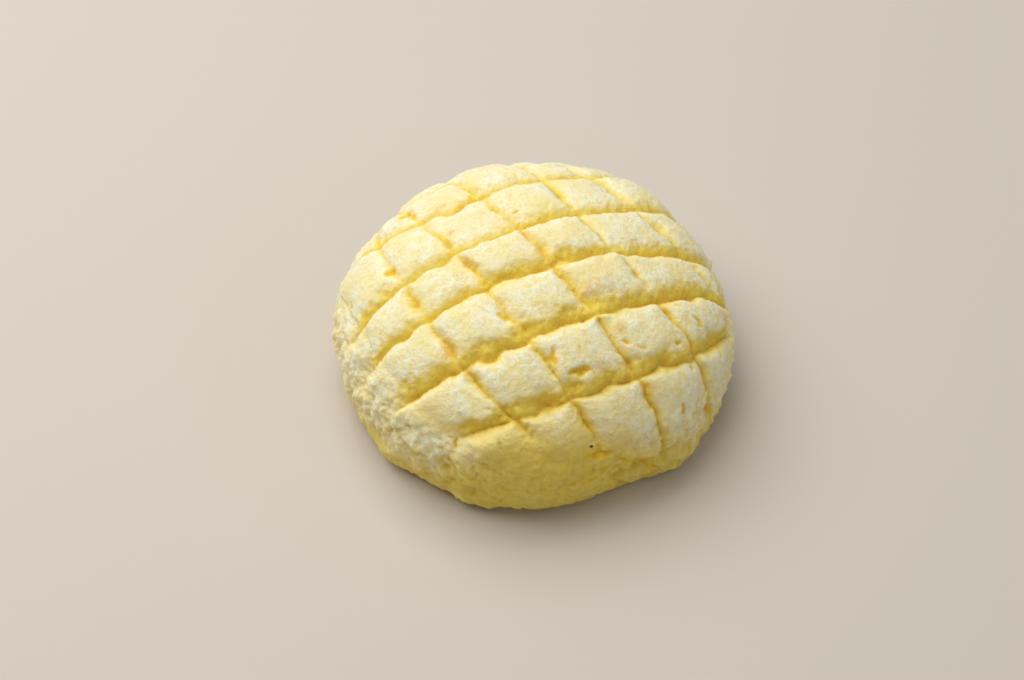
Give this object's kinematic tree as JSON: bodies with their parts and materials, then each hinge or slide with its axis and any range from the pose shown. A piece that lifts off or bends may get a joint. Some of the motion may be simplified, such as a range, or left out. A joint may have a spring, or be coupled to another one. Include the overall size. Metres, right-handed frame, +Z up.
{
  "type": "melon pan",
  "caption": "Round sweet bun under a scored, sugar-dusted biscuit crust that stands up in rows of small pillows; a whole, uncut roll that rests on its flat base.",
  "frame": {"origin": "centre of the bun's box on the plane that its flat base rests on", "axes": "+Z up through the crown, +Y away from the viewer of the picture, +X to the viewer's right"},
  "size_m": [0.1014, 0.1042, 0.0464],
  "materials": {
    "biscuit_crust": "dry baked biscuit crust, pale yellow with whitish sugary tops and deeper golden score lines"
  },
  "bodies": {
    "root": {"melon_pan": "biscuit_crust"}
  },
  "joints": []
}
